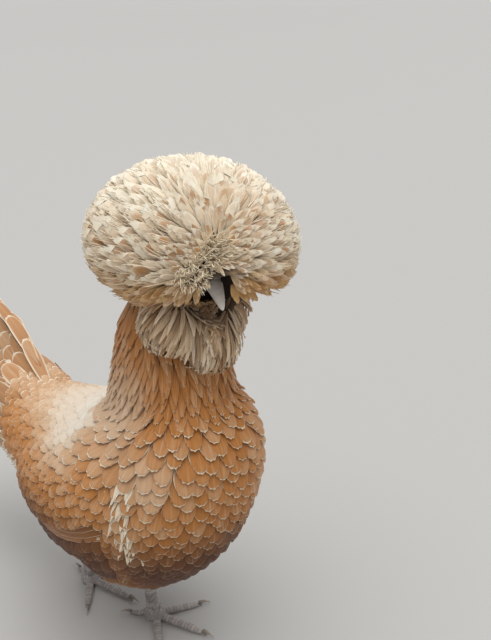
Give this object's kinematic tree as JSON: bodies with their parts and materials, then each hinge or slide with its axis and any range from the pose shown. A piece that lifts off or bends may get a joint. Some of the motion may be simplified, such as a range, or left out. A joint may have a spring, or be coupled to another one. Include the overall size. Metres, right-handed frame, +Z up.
{
  "type": "crested chicken",
  "caption": "Standing hen with a full globe of feathers on its head, a beard and cheek tufts, a fanned tail and slate legs on bare toes.",
  "frame": {"origin": "on the ground, below the middle of the whole outline", "axes": "+Z up, -Y the way the body faces, +X towards the bird's left side"},
  "size_m": [0.1534, 0.3914, 0.4046],
  "materials": {
    "body_feathers": "soft laced feathers",
    "crest_feathers": "soft loose feathers",
    "beard_feathers": "hair-like feathers",
    "face": "dull skin",
    "leg": "scaled slate skin",
    "claw": "horn",
    "beak": "horn",
    "eye": "wet and clear"
  },
  "bodies": {
    "root": {"beak_upper": "beak", "beak_lower": "beak", "eye_left": "eye", "eye_right": "eye", "head": "face", "beard": "beard_feathers", "muff_left": "beard_feathers", "muff_right": "beard_feathers", "crest": "crest_feathers", "wing_left": "body_feathers", "thigh_left": "body_feathers", "wing_right": "body_feathers", "thigh_right": "body_feathers", "neck": "body_feathers", "trunk": "body_feathers", "tail": "body_feathers", "foot_pad_left": "leg", "shank_left": "leg", "claw_inner_left": "claw", "toe_inner_left": "leg", "claw_middle_left": "claw", "toe_middle_left": "leg", "claw_outer_left": "claw", "toe_outer_left": "leg", "claw_hind_left": "claw", "toe_hind_left": "leg", "foot_pad_right": "leg", "shank_right": "leg", "claw_inner_right": "claw", "toe_inner_right": "leg", "claw_middle_right": "claw", "toe_middle_right": "leg", "claw_outer_right": "claw", "toe_outer_right": "leg", "claw_hind_right": "claw", "toe_hind_right": "leg"}
  },
  "joints": []
}
